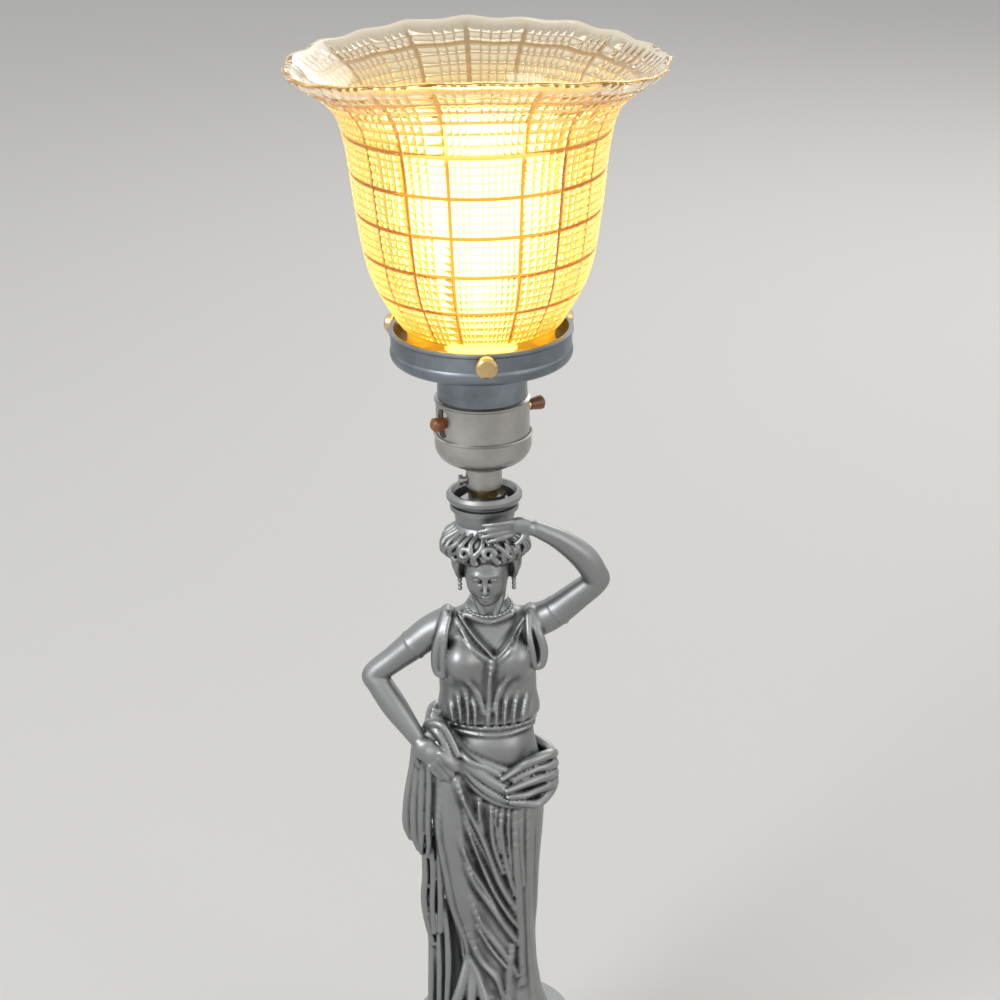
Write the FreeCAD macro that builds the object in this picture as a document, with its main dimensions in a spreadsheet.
"""A figural table lamp: a draped woman, cast in metal, carries an urn on her head.

A threaded nipple holds the figure down on the plinth. A longer one stands in her head, holds the urn and
carries a push-through lamp socket, whose shade holder grips a pressed-glass shade with three thumbscrews.

Frame: millimetres, +Z up, origin under the centre of the felt. The figure faces -Y, and +X is on the right
of someone who looks at her face.
"""

import FreeCAD
import Part
import math
import os

import Sketcher
from FreeCAD import Placement, Rotation, Vector

PARTS_FOLDER = "parts"

# ---------------------------------------------------------------------------------------------------------
# Driving dimensions, in millimetres or degrees. Every one is a cell of the sheet.

SIZES = {
    # plinth and felt
    "felt_thickness": 2.0,
    "felt_margin": 1.5,
    "plinth_radius": 54.0,
    "plinth_height": 46.0,
    "plinth_foot_height": 15.0,
    "plinth_step": 2.5,
    "plinth_cove_height": 12.0,
    "plinth_bead": 2.2,
    "drum_radius": 29.0,
    "plinth_wall": 3.5,
    "plinth_deck": 4.5,
    "cord_inlet_height": 9.5,
    "bushing_bore_radius": 3.2,
    "bushing_radius": 4.6,
    "bushing_flange_radius": 6.4,
    "bushing_flange": 1.6,
    "bushing_flat_depth": 1.0,
    # threaded nipples and their nuts
    "pipe_radius": 5.0,
    "pipe_bore_radius": 3.5,
    "pipe_tail": 3.0,
    "nipple_grip": 7.0,
    "nipple_depth": 14.0,
    "nut_across_corners": 17.5,
    "nut_height": 4.0,
    "washer_radius": 10.0,
    "washer_thickness": 1.2,
    "slip": 0.05,
    "running_gap": 0.3,
    # figure
    "figure_height": 198.0,
    "casting_wall": 3.2,
    "wire_bore_radius": 2.8,
    # urn
    "urn_height": 20.3,
    "urn_lip_radius": 13.8,
    "urn_lip_bead": 1.8,
    "urn_ring_bead": 1.25,
    "urn_neck_radius": 10.6,
    "urn_foot_radius": 12.6,
    "urn_bowl_radius": 11.0,
    "urn_bowl_depth": 8.2,
    # socket
    "socket_lift": 1.7,
    "hub_radius": 6.6,
    "hub_height": 7.4,
    "cap_radius": 17.5,
    "cap_height": 21.1,
    "cap_crease_radius": 13.4,
    "cap_band": 4.6,
    "cap_bead": 0.45,
    "sheet_metal": 0.8,
    "shell_radius": 16.9,
    "shell_height": 13.6,
    "shell_bead": 0.55,
    "shell_tuck": 4.0,
    "thread_radius": 15.1,
    "thread_length": 12.4,
    "thread_wall": 0.6,
    "liner_thickness": 0.6,
    "setscrew_radius": 1.3,
    "setscrew_head_radius": 2.0,
    "setscrew_length": 2.4,
    "setscrew_head": 1.5,
    "setscrew_drop": 2.4,
    "setscrew_bearing": 187.0,
    # switch
    "switch_bearing": 31.0,
    "switch_height": 5.9,
    "switch_travel": 4.6,
    "switch_rod_radius": 1.6,
    "knob_radius": 2.6,
    "knob_length": 5.8,
    "knob_neck_radius": 2.0,
    "knob_standoff": 3.0,
    "slot_width": 6.6,
    "slot_height": 10.8,
    # inner socket
    "body_radius": 14.9,
    "screw_shell_radius": 13.75,
    "screw_shell_wall": 0.4,
    "screw_shell_length": 20.5,
    "contact_width": 6.0,
    "contact_thickness": 0.5,
    # shade holder and thumbscrews
    "collar_radius": 16.2,
    "holder_radius": 32.4,
    "holder_depth": 12.4,
    "holder_wall": 1.1,
    "holder_rim_bead": 0.6,
    "holder_band": 7.0,
    "screw_radius": 1.7,
    "screw_head_radius": 3.8,
    "screw_head": 3.4,
    "screw_standoff": 2.2,
    "screw_height": 7.2,
    "screw_bearing": 273.0,
    "screw_travel": 3.0,
    # glass shade
    "shade_height": 106.6,
    "shade_lip_radius": 28.4,
    "shade_neck_radius": 26.4,
    "shade_neck_height": 10.6,
    "shade_shoulder_radius": 40.2,
    "shade_shoulder_height": 34.1,
    "shade_waist_radius": 46.6,
    "shade_waist_height": 78.1,
    "shade_rim_radius": 67.0,
    "glass_wall": 3.0,
    "shade_rib": 1.1,
    "shade_rib_angle": 2.9,
    "shade_rib_first": 9.9,
    "shade_rib_pitch": 14.7,
    # bulb
    "bulb_base_radius": 13.0,
    "bulb_base_length": 19.0,
    "bulb_base_wall": 0.5,
    "bulb_button_radius": 4.8,
    "bulb_radius": 30.0,
    "bulb_height": 104.0,
    "bulb_glass": 0.8,
}

SCREW_COUNT = 3
CANON = 200.0  # the figure is laid out in 200 parts of its height
RIB_OFFSETS = (-13.0, 19.0, 39.0)  # bearings of one repeat's upright ribs on the shade, from the first thumbscrew's

doc = FreeCAD.newDocument("figural_lamp")
sheet = doc.addObject("Spreadsheet::Sheet", "Size")
for row, (alias, value) in enumerate(SIZES.items(), start=1):
    sheet.set(f"A{row}", alias)
    sheet.set(f"B{row}", str(value))
    sheet.setAlias(f"B{row}", alias)
doc.recompute()

# Levels above the table, as expressions on the sheet.
GROUND = "(Size.felt_thickness + Size.plinth_height)"
CROWN = f"({GROUND} + Size.figure_height)"
URN_TOP = f"({CROWN} + Size.urn_height)"
URN_FLOOR = f"({URN_TOP} - Size.urn_bowl_depth)"
HUB_BOTTOM = f"({URN_TOP} + Size.socket_lift)"
SEAM = f"({HUB_BOTTOM} + Size.cap_height)"
BEAD = f"({SEAM} + Size.shell_height)"
HOLDER_BOTTOM = f"({BEAD} + Size.thread_length + Size.holder_wall)"
HOLDER_FLOOR = f"({HOLDER_BOTTOM} + Size.holder_wall)"
HOLDER_TOP = f"({HOLDER_BOTTOM} + Size.holder_depth)"
SHADE_BOTTOM = f"({HOLDER_FLOOR} + Size.running_gap)"
SWITCH_LEVEL = f"({SEAM} + Size.switch_height)"
SCREW_SHELL_BOTTOM = f"({SWITCH_LEVEL} + Size.switch_rod_radius + 2)"
BULB_BOTTOM = f"({SCREW_SHELL_BOTTOM} + Size.screw_shell_wall + Size.contact_thickness + Size.running_gap)"


def number(expression):
    """The value of an expression on the sheet."""
    return float(sheet.evalExpression(expression))


# ---------------------------------------------------------------------------------------------------------
# Ways of making a piece


def origin_plane(body, role):
    return next(feature for feature in body.Origin.OriginFeatures if feature.Role == role)


def new_body(label):
    body = doc.addObject("PartDesign::Body", label)
    body.Label = label
    return body


def new_sketch(body, name, role):
    sketch = body.newObject("Sketcher::SketchObject", name)
    sketch.AttachmentSupport = (origin_plane(body, role), [""])
    sketch.MapMode = "FlatFace"
    return sketch


def pin_point(sketch, geometry, end, across, up, name):
    """Holds a point of the sketch at two distances from its origin."""
    for kind, level, expression in (("DistanceX", "Vertical", across), ("DistanceY", "Horizontal", up)):
        if expression == "0":
            sketch.addConstraint(Sketcher.Constraint(level, -1, 1, geometry, end))
            continue
        row = sketch.addConstraint(Sketcher.Constraint(kind, -1, 1, geometry, end, number(expression)))
        sketch.renameConstraint(row, f"{name}_{kind}")
        sketch.setExpression(f"Constraints.{name}_{kind}", expression)


def arc_along(start, end, tangent):
    """The anticlockwise arc of a circle that leaves start along tangent and passes through end."""
    chord = end - start
    left = Vector(-tangent.y, tangent.x, 0)
    radius = chord.dot(chord) / (2 * chord.dot(left))
    centre = start + left * radius
    circle = Part.Circle(centre, Vector(0, 0, 1), abs(radius))
    first, last = (start, end) if radius > 0 else (end, start)
    angles = [math.atan2(point.y - centre.y, point.x - centre.x) for point in (first, last)]
    return Part.ArcOfCircle(circle, angles[0], angles[1])


def closed_outline(sketch, corners):
    """Draws a closed outline of (across, up) corners, in expressions. A corner that also says "leaving" is where
    an arc ends that leaves the side before it smoothly, and "arriving" one that meets the side after it so."""
    points = [Vector(number(corner[0]), number(corner[1]), 0) for corner in corners]
    bends = [corner[2] if len(corner) == 3 else "" for corner in corners]
    sides = len(points)
    for index in range(sides):
        before, start = points[index - 1], points[index]
        end, after = points[(index + 1) % sides], points[(index + 2) % sides]
        bend = bends[(index + 1) % sides]
        if bend == "leaving":
            sketch.addGeometry(arc_along(start, end, (start - before).normalize()), False)
        elif bend == "arriving":
            sketch.addGeometry(arc_along(end, start, (end - after).normalize()), False)
        else:
            sketch.addGeometry(Part.LineSegment(start, end), False)
    first_ends = []
    for index in range(sides):
        starts_there = (sketch.Geometry[index].StartPoint - points[index]).Length < 1e-6
        first_ends.append(1 if starts_there else 2)
    for index in range(sides):
        after = (index + 1) % sides
        smooth = bends[after] == "arriving" or bends[(after + 1) % sides] == "leaving"
        kind = "Tangent" if smooth else "Coincident"
        sketch.addConstraint(Sketcher.Constraint(kind, index, 3 - first_ends[index], after, first_ends[after]))
    for index, corner in enumerate(corners):
        pin_point(sketch, index, first_ends[index], corner[0], corner[1], f"corner{index}")


def turned(label, corners):
    """A body turned about Z from an outline of (radius, height) corners."""
    body = new_body(label)
    outline = new_sketch(body, f"{label}_outline", "XZ_Plane")
    closed_outline(outline, corners)
    doc.recompute()
    turning = body.newObject("PartDesign::Revolution", f"{label}_turning")
    turning.Profile = outline
    turning.ReferenceAxis = (outline, ["V_Axis"])
    turning.Angle = 360.0
    outline.Visibility = False
    doc.recompute()
    return body


def tube(label, inner, outer, bottom, top):
    """A plain tube about Z."""
    return turned(label, [(inner, bottom), (outer, bottom), (outer, top), (inner, top)])


def drill(body, name, role, across, up, radius, start="0", length=None, reverse=False):
    """Drills a round hole, square to one of the body's own planes, from a depth behind that plane."""
    sketch = new_sketch(body, f"{name}_sketch", role)
    sketch.setExpression("AttachmentOffset.Base.z", start)
    sketch.addGeometry(Part.Circle(Vector(number(across), number(up), 0), Vector(0, 0, 1), number(radius)), False)
    pin_point(sketch, 0, 3, across, up, "centre")
    row = sketch.addConstraint(Sketcher.Constraint("Radius", 0, number(radius)))
    sketch.renameConstraint(row, "radius")
    sketch.setExpression("Constraints.radius", radius)
    return pocket(body, name, sketch, length, reverse)


def pocket(body, name, sketch, length, reverse, both_ways=False):
    doc.recompute()
    before = body.Shape.Volume
    cut = body.newObject("PartDesign::Pocket", name)
    cut.Profile = sketch
    cut.Reversed = reverse
    if length is None:
        cut.Type = "ThroughAll"
    else:
        cut.setExpression("Length", length)
    cut.Midplane = both_ways
    sketch.Visibility = False
    doc.recompute()
    if body.Shape.Volume > before - 1e-6:
        raise RuntimeError(f"{name} cuts nothing")
    return cut


def place(piece, across="0", along="0", up="0"):
    """Ties a piece's place to the sheet."""
    for axis, expression in (("x", across), ("y", along), ("z", up)):
        if expression != "0":
            piece.setExpression(f"Placement.Base.{axis}", expression)


def turn_about_z(piece, angle):
    """Ties a piece's bearing about Z to the sheet."""
    piece.Placement = Placement(Vector(0, 0, 0), Rotation(Vector(0, 0, 1), number(angle)))
    piece.setExpression("Placement.Rotation.Angle", angle)


def cylinder(name, radius, height, up="0"):
    solid = doc.addObject("Part::Cylinder", name)
    solid.setExpression("Radius", radius)
    solid.setExpression("Height", height)
    place(solid, up=up)
    return solid


def cut(label, base, tool):
    result = doc.addObject("Part::Cut", label)
    result.Label = label
    result.Base = base
    result.Tool = tool
    doc.recompute()
    return result


def hex_nut(label, bottom):
    """A hexagon nut on the pipe."""
    prism = doc.addObject("Part::Prism", f"{label}_hexagon")
    prism.Polygon = 6
    prism.setExpression("Circumradius", "Size.nut_across_corners / 2")
    prism.setExpression("Height", "Size.nut_height")
    place(prism, up=bottom)
    hole = cylinder(f"{label}_thread", "Size.pipe_radius + Size.slip", "Size.nut_height + 2", f"{bottom} - 1")
    return cut(label, prism, hole)


# ---------------------------------------------------------------------------------------------------------
# Plinth, felt and cord inlet


def make_plinth():
    foot = "Size.plinth_radius"
    step = f"({foot} - Size.plinth_step)"
    foot_top = "(Size.felt_thickness + Size.plinth_foot_height)"
    step_top = f"({foot_top} + Size.plinth_step)"
    cove_top = f"({step_top} + Size.plinth_cove_height)"
    bead = "(Size.drum_radius + Size.plinth_bead)"
    bead_top = f"({cove_top} + Size.plinth_bead)"
    deck = f"({GROUND} - Size.plinth_deck)"
    inside_drum = "(Size.drum_radius - Size.plinth_wall)"
    inside_foot = f"({foot} - Size.plinth_wall)"
    hole = "(Size.pipe_radius + Size.running_gap)"
    plinth = turned("plinth", [
        (hole, GROUND),
        (hole, deck),
        (inside_drum, deck),
        (inside_drum, cove_top),
        (f"({step} - 2 * Size.plinth_wall)", foot_top),
        (inside_foot, f"({foot_top} - Size.plinth_wall)"),
        (inside_foot, "Size.felt_thickness"),
        (foot, "Size.felt_thickness"),
        (foot, foot_top),
        (step, foot_top),
        (step, step_top),
        (f"({step} - Size.plinth_bead)", step_top),
        (f"({bead} + Size.plinth_bead / 2)", cove_top, "leaving"),
        (bead, cove_top),
        (bead, bead_top),
        ("Size.drum_radius", bead_top),
        ("Size.drum_radius", GROUND),
    ])
    seat = "(Size.plinth_radius - Size.bushing_flat_depth)"
    drill(plinth, "bushing_flat", "XZ_Plane", "0", "Size.cord_inlet_height",
          "Size.bushing_flange_radius + Size.running_gap", start=f"-{seat}")
    drill(plinth, "bushing_hole", "XZ_Plane", "0", "Size.cord_inlet_height", "Size.bushing_radius + Size.slip")

    felt = cylinder("felt_pad", "Size.plinth_radius - Size.felt_margin", "Size.felt_thickness")
    felt.Label = "felt_pad"

    barrel = "(Size.plinth_wall - Size.bushing_flat_depth + 1.5)"
    bushing = turned("cord_bushing", [
        ("Size.bushing_bore_radius", f"-{barrel}"),
        ("Size.bushing_radius", f"-{barrel}"),
        ("Size.bushing_radius", "0"),
        ("Size.bushing_flange_radius", "0"),
        ("Size.bushing_flange_radius", "(Size.bushing_flange * 0.6)"),
        ("(Size.bushing_flange_radius - Size.bushing_flange * 0.4)", "Size.bushing_flange"),
        ("Size.bushing_bore_radius", "Size.bushing_flange"),
    ])
    bushing.Placement = Placement(Vector(0, 0, 0), Rotation(Vector(1, 0, 0), -90))
    place(bushing, along=seat, up="Size.cord_inlet_height")
    return [plinth, felt, bushing]


# ---------------------------------------------------------------------------------------------------------
# Threaded nipples, washers and nuts


def make_nipples():
    deck = f"({GROUND} - Size.plinth_deck)"
    washer_bottom = f"({deck} - Size.washer_thickness)"
    nut_bottom = f"({washer_bottom} - Size.nut_height)"
    bore = "Size.pipe_bore_radius"
    base_nipple = tube("base_nipple", bore, "Size.pipe_radius", f"({nut_bottom} - Size.pipe_tail)",
                       f"({GROUND} + Size.nipple_grip)")
    urn_nipple = tube("urn_nipple", bore, "Size.pipe_radius", f"({CROWN} - Size.nipple_depth)",
                      f"({HUB_BOTTOM} + Size.hub_height + 1)")
    hole = "(Size.pipe_radius + Size.slip)"
    lower_washer = tube("lower_washer", hole, "Size.washer_radius", washer_bottom, deck)
    lower_nut = hex_nut("lower_nut", nut_bottom)
    upper_washer = tube("upper_washer", hole, "(Size.washer_radius - Size.washer_thickness)", URN_FLOOR,
                        f"({URN_FLOOR} + Size.washer_thickness)")
    upper_nut = hex_nut("upper_nut", f"({URN_FLOOR} + Size.washer_thickness)")
    return [base_nipple, urn_nipple, lower_washer, lower_nut, upper_washer, upper_nut]


# ---------------------------------------------------------------------------------------------------------
# The figure, in parts of her height


def part_length(parts):
    return parts * number("Size.figure_height") / CANON


def spot(x, y, height):
    """A point of the figure: parts to the right, parts to the back, parts above the ground."""
    return Vector(part_length(x), part_length(y), number(GROUND) + part_length(height))


def ring(x, y, height, half_width, half_depth, points=8):
    """A level oval round (x, y)."""
    centre = spot(x, y, height)
    around = []
    for index in range(points):
        angle = 2 * math.pi * index / points + math.pi / 2
        around.append(centre + Vector(part_length(half_width) * math.cos(angle),
                                      part_length(half_depth) * math.sin(angle), 0))
    curve = Part.BSplineCurve()
    curve.interpolate(around, PeriodicFlag=True)
    return Part.Wire([curve.toShape()])


def loft(rings):
    return Part.makeLoft(rings, True, False)


def taper(start, end, first_radius, last_radius):
    """A straight round taper from start to end, its radii in parts."""
    direction = end - start
    return Part.makeCone(part_length(first_radius), part_length(last_radius), direction.Length, start, direction)


def ball(centre, radius):
    return Part.makeSphere(part_length(radius), centre)


def egg(x, y, height, half_width, half_depth, half_height):
    """An egg-shaped mass."""
    solid = Part.makeSphere(1.0)
    solid.rotate(Vector(0, 0, 0), Vector(0, 0, 1), -90)
    matrix = FreeCAD.Matrix()
    matrix.scale(part_length(half_width), part_length(half_depth), part_length(half_height))
    solid = solid.transformGeometry(matrix)
    solid.translate(spot(x, y, height))
    return solid


def fused(shapes):
    whole = shapes[0]
    for shape in shapes[1:]:
        joined = whole.fuse(shape)
        if len(joined.Solids) != 1 or joined.Volume < whole.Volume * 0.98:
            raise RuntimeError("a piece of the figure doesn't join")
        whole = joined
    return whole


# Body: height, x, y, half width, half depth
BODY = [
    (0, -0.6, 0.0, 24.0, 21.0),
    (9, -0.8, 0.0, 21.0, 18.8),
    (28, -0.6, 0.0, 17.6, 16.4),
    (50, 0.0, 0.0, 18.2, 16.2),
    (66, 0.0, 0.0, 19.0, 16.0),
    (92, -0.1, 0.0, 21.2, 16.0),
    (106, -0.1, 0.0, 20.6, 15.2),
    (120, 0.5, 0.0, 16.6, 12.0),
    (127, 0.6, 0.0, 16.4, 11.4),
    (136, 0.2, 0.0, 18.2, 12.0),
    (150, 0.0, 0.0, 18.2, 11.6),
    (160, 0.2, 0.4, 17.6, 10.6),
    (167, 0.4, 0.8, 15.2, 8.8),
    (172, 0.6, 0.6, 10.6, 7.4),
    (176, 0.6, 0.2, 7.6, 6.8),
    (184, 0.8, 0.0, 6.8, 6.6),
]
HEM_TO_HIP = 7
SHOULDER_LEFT = (-15.5, 0.5, 165.2)
SHOULDER_RIGHT = (16.0, 0.3, 165.8)
SEAM_LEFT = (-27.0, 0.4, 158.7)
SEAM_RIGHT = (25.5, -0.8, 171.2)
ELBOW_LEFT = (-42.4, 0.5, 146.5)
ELBOW_RIGHT = (41.5, -4.0, 185.5)
WRIST_LEFT = (-25.0, -9.2, 121.4)
WRIST_RIGHT = (18.4, -13.4, 210.2)

# The dress's main folds: where each starts, turns and ends, as (x, height), and how thick it is.
FRONT_FOLDS = [
    ([(-12.0, 108), (-1.0, 78), (11.6, 47)], 2.2),
    ([(-8.6, 74), (1.6, 54), (11.4, 36)], 1.9),
    ([(-9.6, 44), (-3.4, 29), (4.0, 12)], 1.9),
    ([(0.9, 102), (1.6, 84), (6.0, 64)], 1.7),
    ([(9.8, 100), (10.6, 56), (12.6, 8)], 2.2),
    ([(1.9, 158), (0.6, 146), (-0.2, 128)], 1.6),
]
BACK_FOLDS = [
    ([(-13.0, 112), (-12.2, 60), (-14.0, 4)], 2.2),
    ([(-3.4, 112), (-2.8, 60), (-3.6, 4)], 2.3),
    ([(7.0, 110), (7.2, 60), (8.6, 4)], 2.3),
]


def body_surface(x, height, side):
    """The point on the plain body's front (side -1) or back (side 1) at x and height."""
    index = next(n for n in range(1, len(BODY)) if BODY[n][0] >= height)
    below, above = BODY[index - 1], BODY[index]
    share = (height - below[0]) / (above[0] - below[0])
    middle_x, middle_y, half_width, half_depth = (
        (1 - share) * low + share * high for low, high in zip(below[1:], above[1:]))
    across = (x - middle_x) / half_width
    return spot(x, middle_y + side * half_depth * math.sqrt(max(0.0, 1 - across * across)), height)


def bent_roll(start, middle, end, radius):
    """A round roll of cloth along an arc through three points."""
    arc = Part.Arc(start, middle, end).toShape()
    first = arc.FirstParameter
    circle = Part.Circle(arc.valueAt(first), arc.tangentAt(first), part_length(radius)).toShape()
    return Part.Wire([arc]).makePipeShell([Part.Wire([circle])], True, False)


def fold(course, radius, side):
    """A ridge of cloth on the body's front (side -1) or back (side 1), which dives under at both its ends."""
    start, middle, end = (body_surface(x, height, side) for x, height in course)
    inward = Vector(0, -side * part_length(radius * 1.3), 0)
    return bent_roll(start + inward, middle, end + inward, radius)


def make_sash():
    """The sash, from the left hip down across the front to its loop on the right, and round the back."""
    return [
        bent_roll(spot(-20.4, -7.2, 127.6), spot(-3.6, -15.2, 110.4), spot(20.0, -8.0, 105.6), 2.7),
        bent_roll(spot(-20.8, -7.0, 121.6), spot(-3.2, -16.2, 105.2), spot(19.6, -8.4, 100.6), 2.7),
        bent_roll(spot(-21.4, -1.0, 126.0), spot(0.0, 15.2, 116.4), spot(23.0, -1.0, 107.4), 3.6),
        ball(spot(19.8, -6.4, 111.2), 5.0),
        ball(spot(21.4, -5.6, 105.4), 4.7),
        egg(-19.6, -7.4, 130.4, 4.4, 4.4, 4.8),
    ]


def make_leg():
    """The resting leg, whose shape shows through the cloth."""
    knee, shin = spot(-12.2, -10.2, 74), spot(-8.2, -11.0, 50)
    return [
        taper(spot(-13.4, -7.6, 104), knee, 8.3, 7.4),
        ball(knee, 7.5),
        taper(knee, shin, 7.4, 6.0),
        ball(shin, 6.1),
        taper(shin, spot(-5.4, -10.4, 28), 6.0, 4.4),
    ]


def make_cascade():
    """The sash's end, which falls down her right side from the hand on the hip in two tiers."""
    upper = loft([
        ring(-23.4, -4.0, 117, 3.8, 4.6),
        ring(-26.0, -4.0, 96, 6.4, 5.6),
        ring(-24.8, -4.4, 74, 4.8, 4.8),
    ])
    lower = loft([
        ring(-21.0, -5.0, 85, 3.2, 5.0),
        ring(-21.2, -5.2, 50, 4.4, 6.6),
        ring(-20.4, -5.4, 3, 5.0, 8.0),
    ])
    return [lower, upper]


def make_head():
    skull = egg(1.0, -3.4, 190.0, 8.8, 10.2, 11.2)
    chin = ball(spot(1.0, -10.4, 181.8), 2.6)
    nose = taper(spot(1.0, -12.2, 191.6), spot(1.0, -14.0, 187.0), 0.8, 1.2)
    nape = egg(0.8, 3.6, 190.6, 10.4, 9.2, 10.6)
    hair = egg(0.5, -0.6, 197.2, 14.8, 12.8, 7.6)
    seat = Part.makeCone(part_length(13.6), part_length(12.7), part_length(5), spot(0, 0, 195), Vector(0, 0, 1))
    knot = egg(0.8, 12.8, 191.2, 5.6, 5.0, 5.6)
    return [skull, chin, nose, nape, hair, seat, knot]


def make_figure_body():
    body = loft([ring(x, y, height, half_width, half_depth) for height, x, y, half_width, half_depth in BODY])
    bust = [egg(-9.4, -8.4, 155.4, 7.0, 7.8, 7.2), egg(10.2, -8.4, 156.8, 7.0, 7.8, 7.2)]
    stubs = [
        ball(spot(*SHOULDER_LEFT), 6.5),
        taper(spot(*SHOULDER_LEFT), spot(*SEAM_LEFT), 6.3, 5.7),
        ball(spot(*SHOULDER_RIGHT), 6.5),
        taper(spot(*SHOULDER_RIGHT), spot(*SEAM_RIGHT), 6.3, 5.8),
    ]
    sleeves = [egg(-18.2, -4.6, 160.6, 3.0, 4.8, 10.6), egg(20.0, -4.6, 164.4, 3.2, 4.8, 10.2)]
    belt = loft([ring(0.6, 0.0, height, 17.4, 12.4) for height in (125.4, 129.6)])
    folds = []
    for side, courses in ((-1, FRONT_FOLDS), (1, BACK_FOLDS)):
        for course, radius in courses:
            folds.append(fold(course, radius, side))
    body = fused([body, belt] + bust + stubs + sleeves + make_leg() + folds + make_sash() + make_cascade()
                 + make_head())
    wall = number("Size.casting_wall") * CANON / number("Size.figure_height")
    floor = number("Size.nipple_grip")
    hollow = loft([
        ring(x, y, height, half_width - wall, half_depth - wall)
        for height, x, y, half_width, half_depth in BODY[:HEM_TO_HIP]
    ])
    hollow = hollow.cut(Part.makeCylinder(part_length(60), floor, spot(0, 0, 0)))
    below = Part.makeCylinder(part_length(60), part_length(20), spot(0, 0, -20))
    above = Part.makeCylinder(part_length(60), part_length(40), spot(0, 0, CANON))
    thread = number("Size.pipe_radius + Size.slip")
    depth = number("Size.nipple_depth")
    base_thread = Part.makeCylinder(thread, floor + 2, spot(0, 0, 0) - Vector(0, 0, 1))
    head_thread = Part.makeCylinder(thread, depth + 1, spot(0, 0, CANON) - Vector(0, 0, depth))
    wire_bore = Part.makeCylinder(number("Size.wire_bore_radius"), part_length(CANON - 80), spot(0, 0, 80))
    for tool in (below, above, hollow, base_thread, head_thread, wire_bore):
        body = body.cut(tool)
    return body


def hand(knuckles, tips, thickness):
    """Four fingers, whose knuckles and tips each stand along a line."""
    fingers = []
    for index in range(4):
        share = index / 3
        start = spot(*knuckles[0]) * (1 - share) + spot(*knuckles[1]) * share
        end = spot(*tips[0]) * (1 - share) + spot(*tips[1]) * share
        fingers.append(taper(start, end, thickness, thickness * 0.8))
    return fingers


def make_left_arm(body):
    """The arm whose hand rests on the hip."""
    seam, elbow, wrist = spot(*SEAM_LEFT), spot(*ELBOW_LEFT), spot(*WRIST_LEFT)
    swell = elbow * 0.7 + wrist * 0.3
    pieces = [
        ball(elbow, 4.8),
        taper(seam, elbow, 5.7, 4.6),
        taper(elbow, swell, 4.6, 4.8),
        taper(swell, wrist, 4.8, 3.0),
        ball(wrist, 3.2),
        egg(-21.4, -12.0, 118.0, 4.6, 3.2, 5.6),
    ]
    pieces += hand([(-22.2, -13.0, 116.0), (-17.0, -14.2, 120.0)], [(-19.4, -15.2, 109.0), (-13.0, -16.4, 113.6)], 1.3)
    return fused(pieces).cut(body)


def make_right_arm(body):
    """The raised arm, whose hand steadies the urn."""
    seam, elbow, wrist = spot(*SEAM_RIGHT), spot(*ELBOW_RIGHT), spot(*WRIST_RIGHT)
    swell = elbow * 0.7 + wrist * 0.3
    pieces = [
        ball(elbow, 4.9),
        taper(seam, elbow, 5.8, 4.6),
        taper(elbow, swell, 4.6, 4.8),
        taper(swell, wrist, 4.8, 3.0),
        ball(wrist, 3.2),
        egg(13.0, -14.2, 211.0, 5.4, 2.4, 3.9),
    ]
    pieces += hand([(10.0, -14.8, 213.2), (10.0, -14.8, 208.6)], [(1.4, -14.8, 213.4), (2.2, -14.8, 208.4)], 1.2)
    clear_of_urn = Part.makeCylinder(number("Size.urn_foot_radius + Size.running_gap"),
                                     number("Size.urn_height"), Vector(0, 0, number(CROWN)))
    return fused(pieces).cut(body).cut(clear_of_urn)


def make_figure():
    shapes = {}
    shapes["figure_body"] = make_figure_body()
    shapes["arm_on_hip"] = make_left_arm(shapes["figure_body"])
    shapes["raised_arm"] = make_right_arm(shapes["figure_body"])
    pieces = []
    for label, shape in shapes.items():
        feature = doc.addObject("Part::Feature", label)
        feature.Label = label
        feature.Shape = shape
        pieces.append(feature)
    return pieces


# ---------------------------------------------------------------------------------------------------------
# Urn


def make_urn():
    lip_bottom = f"({URN_TOP} - 2 * Size.urn_lip_bead)"
    ring_top = f"({lip_bottom} - Size.urn_ring_bead * 0.8)"
    ring_bottom = f"({ring_top} - 2 * Size.urn_ring_bead)"
    ring_radius = "(Size.urn_lip_radius - Size.urn_ring_bead)"
    groove = f"({ring_radius} - Size.urn_ring_bead)"
    inside_lip = "(Size.urn_lip_radius - Size.urn_lip_bead)"
    hole = "(Size.pipe_radius + Size.slip)"
    return [turned("urn", [
        (hole, CROWN),
        ("Size.urn_foot_radius", CROWN),
        ("Size.urn_foot_radius", f"({CROWN} + 1)"),
        ("Size.urn_neck_radius", f"({CROWN} + Size.urn_height * 0.4)", "leaving"),
        (groove, ring_bottom),
        (ring_radius, f"({ring_bottom} + Size.urn_ring_bead * 0.3)"),
        (ring_radius, f"({ring_top} - Size.urn_ring_bead * 0.3)"),
        (groove, ring_top),
        (groove, lip_bottom),
        ("(Size.urn_lip_radius - Size.urn_lip_bead * 0.4)", lip_bottom),
        ("Size.urn_lip_radius", f"({lip_bottom} + Size.urn_lip_bead * 0.6)"),
        ("Size.urn_lip_radius", f"({URN_TOP} - Size.urn_lip_bead * 0.7)"),
        ("(Size.urn_lip_radius - Size.urn_lip_bead * 0.5)", URN_TOP),
        (inside_lip, URN_TOP),
        ("Size.urn_bowl_radius", f"({URN_TOP} - Size.urn_lip_bead)"),
        ("Size.urn_bowl_radius", URN_FLOOR),
        (hole, URN_FLOOR),
    ])]


# ---------------------------------------------------------------------------------------------------------
# Socket


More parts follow.
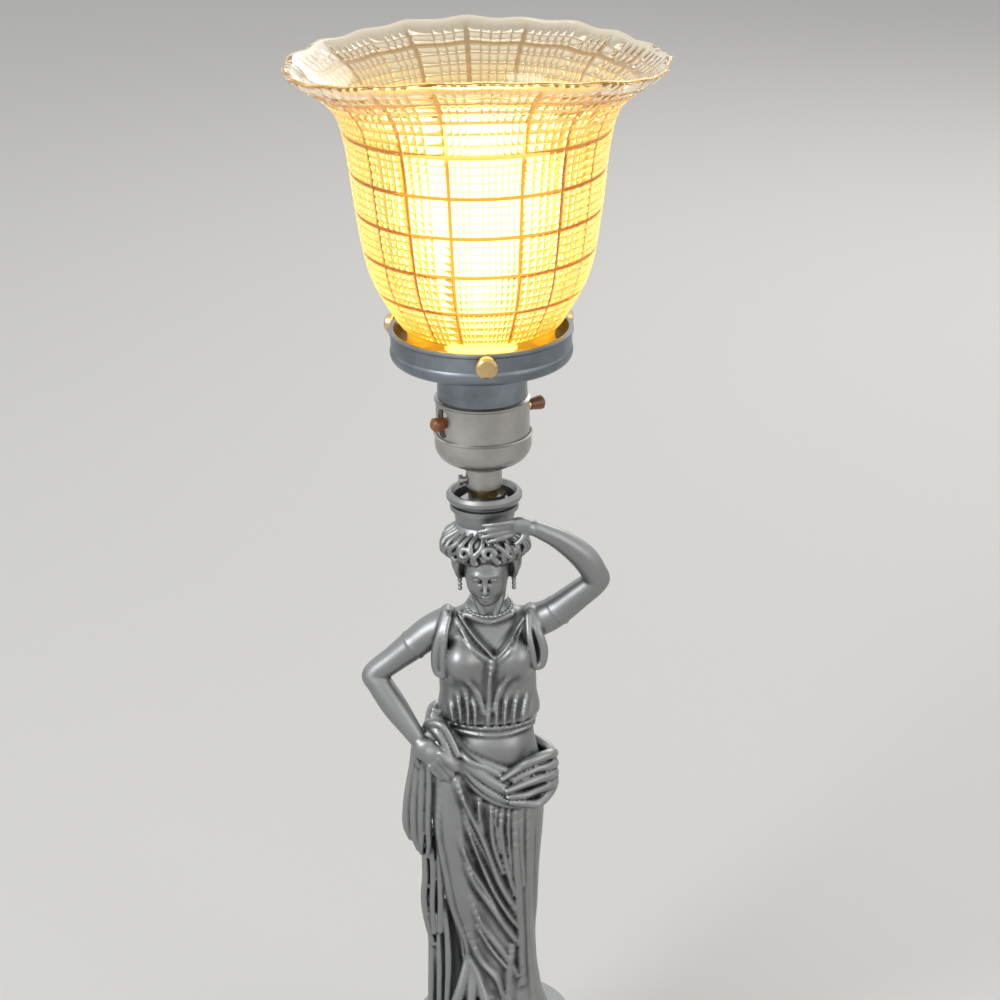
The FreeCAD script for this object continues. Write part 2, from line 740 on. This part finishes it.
def make_socket_case():
    metal = "Size.sheet_metal"
    bowl_bottom = f"({HUB_BOTTOM} + Size.hub_height)"
    band_bottom = f"({SEAM} - Size.cap_band)"
    crease = f"({bowl_bottom} + 3)"
    inside = f"(Size.cap_radius - {metal} / 2)"
    hole = "(Size.pipe_radius + Size.slip)"
    cap = turned("socket_cap", [
        (hole, HUB_BOTTOM),
        ("Size.hub_radius", HUB_BOTTOM),
        ("Size.hub_radius", bowl_bottom),
        ("(Size.hub_radius + 1.4)", f"({bowl_bottom} + 0.3)"),
        ("Size.cap_crease_radius", crease),
        ("Size.cap_radius", band_bottom, "leaving"),
        ("Size.cap_radius", f"({SEAM} - 2 * Size.cap_bead)"),
        ("(Size.cap_radius + Size.cap_bead)", f"({SEAM} - Size.cap_bead)"),
        ("Size.cap_radius", SEAM),
        (inside, SEAM),
        (inside, f"({band_bottom} + {metal} / 2)"),
        (f"(Size.cap_crease_radius - {metal})", f"({crease} + {metal})"),
        (f"(Size.hub_radius + 1)", f"({bowl_bottom} + {metal} + 0.4)"),
        (hole, f"({bowl_bottom} + {metal} + 0.4)"),
    ])
    screw_level = f"({HUB_BOTTOM} + Size.setscrew_drop)"
    drill(cap, "setscrew_hole", "YZ_Plane", "0", screw_level, "Size.setscrew_radius + Size.slip", reverse=True)
    turn_about_z(cap, "Size.setscrew_bearing")

    shank_end = "(Size.hub_radius + Size.setscrew_length - 2)"
    setscrew = turned("set_screw", [
        ("0", "(Size.pipe_radius + Size.running_gap)"),
        ("Size.setscrew_radius", "(Size.pipe_radius + Size.running_gap)"),
        ("Size.setscrew_radius", f"({shank_end} + 0.8)"),
        ("Size.setscrew_head_radius", f"({shank_end} + 0.8)"),
        ("Size.setscrew_head_radius", f"({shank_end} + 0.6 + Size.setscrew_head)"),
        ("(Size.setscrew_head_radius - 0.3)", f"({shank_end} + 0.8 + Size.setscrew_head)"),
        ("0", f"({shank_end} + 0.8 + Size.setscrew_head)"),
    ])
    setscrew.Placement = radial_placement(number("Size.setscrew_bearing"), 0.0)
    place(setscrew, up=screw_level)

    outside = "Size.shell_radius"
    inner = f"({outside} - {metal})"
    thread_inner = "(Size.thread_radius - Size.thread_wall)"
    tuck = f"({SEAM} - Size.shell_tuck)"
    shell = turned("socket_shell", [
        (inner, tuck),
        (outside, tuck),
        (outside, f"({BEAD} - 3 * Size.shell_bead)"),
        (f"({outside} + Size.shell_bead)", f"({BEAD} - 2 * Size.shell_bead)"),
        (f"({outside} + Size.shell_bead)", f"({BEAD} - Size.shell_bead)"),
        (f"({outside} - Size.shell_bead)", BEAD),
        ("Size.thread_radius", BEAD),
        ("Size.thread_radius", f"({BEAD} + Size.thread_length)"),
        (thread_inner, f"({BEAD} + Size.thread_length)"),
        (thread_inner, f"({BEAD} - {metal})"),
        (inner, f"({BEAD} - 2 * {metal})"),
    ])
    slot_through(shell, "shell_slot")
    turn_about_z(shell, "Size.switch_bearing")

    liner_outer = f"({inner} - Size.slip)"
    liner = tube("insulating_liner", f"({liner_outer} - Size.liner_thickness)", liner_outer, tuck,
                 f"({BEAD} - 2 * {metal} - Size.slip)")
    slot_through(liner, "liner_slot")
    turn_about_z(liner, "Size.switch_bearing")
    return [cap, setscrew, shell, liner]


def slot_through(body, name):
    """Cuts an upright oblong slot through both sides, along the body's own X."""
    sketch = new_sketch(body, f"{name}_sketch", "YZ_Plane")
    half = number("Size.slot_width / 2")
    low = number(f"{SWITCH_LEVEL} - Size.slot_height / 2 + Size.slot_width / 2")
    high = number(f"{SWITCH_LEVEL} + Size.slot_height / 2 - Size.slot_width / 2")
    up = Vector(0, 0, 1)
    sketch.addGeometry(Part.ArcOfCircle(Part.Circle(Vector(0, high, 0), up, half), 0, math.pi), False)
    sketch.addGeometry(Part.LineSegment(Vector(-half, high, 0), Vector(-half, low, 0)), False)
    sketch.addGeometry(Part.ArcOfCircle(Part.Circle(Vector(0, low, 0), up, half), math.pi, 2 * math.pi), False)
    sketch.addGeometry(Part.LineSegment(Vector(half, low, 0), Vector(half, high, 0)), False)
    sketch.addConstraint(Sketcher.Constraint("Tangent", 0, 2, 1, 1))
    sketch.addConstraint(Sketcher.Constraint("Tangent", 1, 2, 2, 1))
    sketch.addConstraint(Sketcher.Constraint("Tangent", 2, 2, 3, 1))
    sketch.addConstraint(Sketcher.Constraint("Tangent", 3, 2, 0, 1))
    pin_point(sketch, 0, 3, "0", f"{SWITCH_LEVEL} + Size.slot_height / 2 - Size.slot_width / 2", "upper")
    pin_point(sketch, 2, 3, "0", f"{SWITCH_LEVEL} - Size.slot_height / 2 + Size.slot_width / 2", "lower")
    row = sketch.addConstraint(Sketcher.Constraint("Radius", 0, half))
    sketch.renameConstraint(row, "end")
    sketch.setExpression("Constraints.end", "Size.slot_width / 2")
    pocket(body, name, sketch, "4 * Size.shell_radius", False, both_ways=True)


def make_socket_interior():
    bottom = f"({HUB_BOTTOM} + Size.hub_height + Size.sheet_metal + 4.4)"
    shoulder = f"({SEAM} - Size.cap_band + Size.sheet_metal)"
    body = turned("socket_interior", [
        ("0", bottom),
        ("(Size.cap_crease_radius - 2 * Size.sheet_metal)", bottom),
        ("Size.body_radius", shoulder),
        ("Size.body_radius", f"({SCREW_SHELL_BOTTOM})"),
        ("0", f"({SCREW_SHELL_BOTTOM})"),
    ])
    drill(body, "rod_tunnel", "YZ_Plane", "0", SWITCH_LEVEL, "Size.switch_rod_radius + Size.running_gap",
          start="-2 * Size.body_radius", reverse=True)
    turn_about_z(body, "Size.switch_bearing")

    inner = "(Size.screw_shell_radius - Size.screw_shell_wall)"
    screw_shell = turned("screw_shell", [
        ("0", SCREW_SHELL_BOTTOM),
        ("Size.screw_shell_radius", SCREW_SHELL_BOTTOM),
        ("Size.screw_shell_radius", f"({SCREW_SHELL_BOTTOM} + Size.screw_shell_length)"),
        (inner, f"({SCREW_SHELL_BOTTOM} + Size.screw_shell_length)"),
        (inner, f"({SCREW_SHELL_BOTTOM} + Size.screw_shell_wall)"),
        ("0", f"({SCREW_SHELL_BOTTOM} + Size.screw_shell_wall)"),
    ])

    contact = doc.addObject("Part::Box", "centre_contact")
    contact.Label = "centre_contact"
    contact.setExpression("Length", "1.6 * Size.contact_width")
    contact.setExpression("Width", "Size.contact_width")
    contact.setExpression("Height", "Size.contact_thickness")
    place(contact, "-0.8 * Size.contact_width", "-Size.contact_width / 2",
          f"{SCREW_SHELL_BOTTOM} + Size.screw_shell_wall")

    return [body, screw_shell, contact]


# ---------------------------------------------------------------------------------------------------------
# Push-through switch


def make_switch():
    """A rod through the socket with a knob on each end. The rod's own Z becomes the bearing of the switch."""
    right_inner = "(Size.shell_radius + Size.knob_standoff)"
    left_inner = "(Size.shell_radius + Size.knob_standoff - Size.switch_travel)"
    grip = "(Size.knob_length * 0.6)"
    rod = tube("switch_rod", "0", "Size.switch_rod_radius", f"-({left_inner} + {grip})",
               f"({right_inner} + {grip})")
    knobs = []
    for label, inner in (("switch_knob_out", right_inner), ("switch_knob_in", left_inner)):
        bore = "(Size.switch_rod_radius + Size.slip)"
        knobs.append(turned(label, [
            (bore, inner),
            ("Size.knob_neck_radius", inner),
            ("Size.knob_radius", f"({inner} + Size.knob_length * 0.7)"),
            ("Size.knob_radius", f"({inner} + Size.knob_length * 0.85)"),
            ("(Size.knob_radius * 0.6)", f"({inner} + Size.knob_length)"),
            ("0", f"({inner} + Size.knob_length)"),
            ("0", f"({inner} + {grip} + Size.slip)"),
            (bore, f"({inner} + {grip} + Size.slip)"),
        ]))
    bearing = number("Size.switch_bearing")
    rod.Placement = radial_placement(bearing, 0.0)
    knobs[0].Placement = radial_placement(bearing, 0.0)
    knobs[1].Placement = radial_placement(bearing + 180, 0.0)
    for piece in [rod] + knobs:
        place(piece, up=SWITCH_LEVEL)
    return [rod] + knobs


def radial_placement(bearing, distance):
    """Turns a piece's own Z outwards along a bearing, in degrees from +X, at a distance from the lamp's axis."""
    turn = Rotation(Vector(0, 0, 1), bearing) * Rotation(Vector(0, 1, 0), 90)
    angle = math.radians(bearing)
    return Placement(Vector(distance * math.cos(angle), distance * math.sin(angle), 0), turn)


# ---------------------------------------------------------------------------------------------------------
# Shade holder with its thumbscrews


def make_holder():
    wall = "Size.holder_wall"
    outer = "Size.holder_radius"
    band_bottom = f"({HOLDER_TOP} - Size.holder_band)"
    pan = "(Size.shade_lip_radius + 2 * Size.running_gap)"
    bore = "(Size.thread_radius + Size.slip)"
    holder = turned("shade_holder", [
        (bore, f"({BEAD} + Size.slip)"),
        ("Size.collar_radius", f"({BEAD} + Size.slip)"),
        ("Size.collar_radius", HOLDER_BOTTOM),
        (pan, HOLDER_BOTTOM),
        (outer, band_bottom, "leaving"),
        (outer, f"({HOLDER_TOP} - 3 * Size.holder_rim_bead)"),
        (f"({outer} + Size.holder_rim_bead)", f"({HOLDER_TOP} - 2 * Size.holder_rim_bead)"),
        (f"({outer} + Size.holder_rim_bead)", f"({HOLDER_TOP} - Size.holder_rim_bead)"),
        (outer, HOLDER_TOP),
        (f"({outer} - {wall})", HOLDER_TOP),
        (f"({outer} - {wall})", f"({band_bottom} + {wall} / 2)"),
        (pan, HOLDER_FLOOR),
        (bore, HOLDER_FLOOR),
    ])
    level = f"({HOLDER_TOP} - Size.screw_height / 2)"
    screw_seat = "(Size.holder_radius + Size.screw_standoff)"
    tip = "(Size.shade_neck_radius + Size.running_gap)"
    screws = []
    for index in range(SCREW_COUNT):
        bearing = number("Size.screw_bearing") + 360.0 * index / SCREW_COUNT
        screw = turned(f"thumbscrew_{index + 1}", [
            ("0", tip),
            ("(Size.screw_radius * 0.6)", tip),
            ("Size.screw_radius", f"({tip} + 0.8)"),
            ("Size.screw_radius", screw_seat),
            ("(Size.screw_head_radius * 0.92)", screw_seat),
            ("Size.screw_head_radius", f"({screw_seat} + 0.4)"),
            ("Size.screw_head_radius", f"({screw_seat} + Size.screw_head * 0.7)"),
            ("(Size.screw_head_radius * 0.75)", f"({screw_seat} + Size.screw_head)"),
            ("0", f"({screw_seat} + Size.screw_head)"),
        ])
        screw.Placement = radial_placement(bearing, 0.0)
        place(screw, up=level)
        screws.append(screw)
    holes = []
    for index in range(SCREW_COUNT):
        bearing = number("Size.screw_bearing") + 360.0 * index / SCREW_COUNT
        hole = cylinder(f"screw_hole_{index + 1}", "Size.screw_radius + Size.slip", "3 * Size.holder_wall + 2")
        hole.Placement = radial_placement(bearing, number("Size.holder_radius - 2 * Size.holder_wall - 1"))
        place(hole, up=level)
        holes.append(hole)
    holder.Label = "holder_pan"
    drilling = doc.addObject("Part::MultiFuse", "screw_holes")
    drilling.Shapes = holes
    return [cut("holder", holder, drilling)] + screws


# ---------------------------------------------------------------------------------------------------------
# Glass shade


def upright_rib(shade, name, offset):
    """One upright rib on the shade's straight wall, as a narrow turn of its own outline."""
    shoulder = f"({SHADE_BOTTOM} + Size.shade_shoulder_height)"
    waist = f"({SHADE_BOTTOM} + Size.shade_waist_height)"
    outline = new_sketch(shade, f"{name}_outline", "XZ_Plane")
    bearing = number(f"Size.screw_bearing + {offset}")
    outline.AttachmentOffset = Placement(Vector(0, 0, 0), Rotation(Vector(0, 1, 0), bearing))
    closed_outline(outline, [
        ("(Size.shade_shoulder_radius - Size.glass_wall / 2)", shoulder),
        ("(Size.shade_shoulder_radius + Size.shade_rib * 0.9)", shoulder),
        ("(Size.shade_waist_radius + Size.shade_rib * 0.9)", waist),
        ("(Size.shade_waist_radius - Size.glass_wall / 2)", waist),
    ])
    doc.recompute()
    turning = shade.newObject("PartDesign::Revolution", f"{name}_turning")
    turning.Profile = outline
    turning.ReferenceAxis = (outline, ["V_Axis"])
    turning.Midplane = True
    turning.setExpression("Angle", "Size.shade_rib_angle")
    outline.Visibility = False
    doc.recompute()
    return turning


def make_shade():
    wall = "Size.glass_wall"
    neck_top = f"({SHADE_BOTTOM} + Size.shade_neck_height)"
    shoulder = f"({SHADE_BOTTOM} + Size.shade_shoulder_height)"
    waist = f"({SHADE_BOTTOM} + Size.shade_waist_height)"
    rim = f"({SHADE_BOTTOM} + Size.shade_height)"
    spread = f"((Size.shade_waist_radius - Size.shade_shoulder_radius) / ({waist} - {shoulder}))"
    level_ribs = []
    for count in range(3):
        above = f"(Size.shade_rib_first + {count} * Size.shade_rib_pitch)"
        middle = f"({shoulder} + {above})"
        radius = f"(Size.shade_shoulder_radius + {above} * {spread})"
        level_ribs += [
            (f"({radius} - Size.shade_rib * {spread})", f"({middle} - Size.shade_rib)"),
            (f"({radius} + Size.shade_rib)", f"({middle} - Size.shade_rib / 2)"),
            (f"({radius} + Size.shade_rib)", f"({middle} + Size.shade_rib / 2)"),
            (f"({radius} + Size.shade_rib * {spread})", f"({middle} + Size.shade_rib)"),
        ]
    shade = turned("glass_shade", [
        (f"(Size.shade_neck_radius - {wall})", SHADE_BOTTOM),
        ("Size.shade_lip_radius", SHADE_BOTTOM),
        ("Size.shade_lip_radius", f"({SHADE_BOTTOM} + 2)"),
        ("Size.shade_neck_radius", f"({SHADE_BOTTOM} + 3.2)"),
        ("Size.shade_neck_radius", neck_top),
        ("Size.shade_shoulder_radius", shoulder, "arriving"),
    ] + level_ribs + [
        ("Size.shade_waist_radius", waist),
        ("Size.shade_rim_radius", rim, "leaving"),
        (f"(Size.shade_rim_radius - {wall} * 0.4)", f"({rim} + {wall} * 0.9)"),
        (f"(Size.shade_waist_radius - {wall})", waist, "arriving"),
        (f"(Size.shade_shoulder_radius - {wall})", shoulder),
        (f"(Size.shade_neck_radius - {wall})", f"({neck_top} + {wall} / 2)", "leaving"),
    ])
    ribs = [upright_rib(shade, f"rib{index}", offset) for index, offset in enumerate(RIB_OFFSETS)]
    pattern = shade.newObject("PartDesign::PolarPattern", "ribs_round")
    pattern.Originals = ribs
    pattern.Axis = (next(feature for feature in shade.Origin.OriginFeatures if feature.Role == "Z_Axis"), [""])
    pattern.Angle = 360.0
    pattern.Occurrences = 5
    shade.Tip = pattern
    doc.recompute()
    return [shade]


# ---------------------------------------------------------------------------------------------------------
# Bulb


def make_bulb():
    base_bottom = f"({BULB_BOTTOM} + 3)"
    base_top = f"({base_bottom} + Size.bulb_base_length)"
    inside = "(Size.bulb_base_radius - Size.bulb_base_wall)"
    base = tube("bulb_base", inside, "Size.bulb_base_radius", base_bottom, base_top)

    insulator = turned("bulb_insulator", [
        ("(Size.bulb_button_radius / 2 + Size.slip)", f"({BULB_BOTTOM} + 0.8)"),
        ("Size.bulb_button_radius", f"({BULB_BOTTOM} + 0.8)"),
        (inside, base_bottom),
        (inside, f"({base_bottom} + 1)"),
        ("(Size.bulb_button_radius / 2 + Size.slip)", f"({base_bottom} + 1)"),
    ])
    button = turned("bulb_contact", [
        ("0", BULB_BOTTOM),
        ("(Size.bulb_button_radius * 0.7)", BULB_BOTTOM),
        ("(Size.bulb_button_radius * 0.9)", f"({BULB_BOTTOM} + 0.75)"),
        ("(Size.bulb_button_radius / 2)", f"({BULB_BOTTOM} + 0.75)"),
        ("(Size.bulb_button_radius / 2)", f"({base_bottom} + 0.5)"),
        ("0", f"({base_bottom} + 0.5)"),
    ])

    glass = "Size.bulb_glass"
    top = f"({BULB_BOTTOM} + Size.bulb_height)"
    equator = f"({top} - Size.bulb_radius)"
    neck = f"({inside} - Size.slip)"
    neck_top = f"({base_top} + 4)"
    globe = turned("bulb_globe", [
        (f"({neck} - {glass})", f"({base_top} - 3)"),
        (neck, f"({base_top} - 3)"),
        (neck, neck_top),
        ("Size.bulb_radius", f"({equator} - 0.5)"),
        ("Size.bulb_radius", equator),
        ("0", top, "leaving"),
        ("0", f"({top} - {glass})"),
        (f"(Size.bulb_radius - {glass})", equator, "arriving"),
        (f"(Size.bulb_radius - {glass})", f"({equator} - 0.5)"),
        (f"({neck} - {glass})", neck_top),
    ])
    return [base, insulator, button, globe]


# ---------------------------------------------------------------------------------------------------------


def check_and_write(pieces):
    for thing in doc.Objects:
        if "Invalid" in thing.State or "Error" in thing.State:
            raise RuntimeError(f"{thing.Name} is {thing.State}")
    os.makedirs(PARTS_FOLDER, exist_ok=True)
    for piece in pieces:
        shape = piece.Shape
        if shape.isNull() or not shape.isValid() or shape.Volume <= 0:
            raise RuntimeError(f"{piece.Label} isn't a sound solid")
        shape.exportStep(os.path.join(PARTS_FOLDER, f"{piece.Label}.step"))
        print(f"{piece.Label}: {len(shape.Solids)} solid(s), {shape.Volume / 1000:.2f} cm3")


def main():
    pieces = (make_plinth() + make_nipples() + make_figure() + make_urn() + make_socket_case()
              + make_socket_interior() + make_switch() + make_holder() + make_shade() + make_bulb())
    doc.recompute()
    check_and_write(pieces)


main()
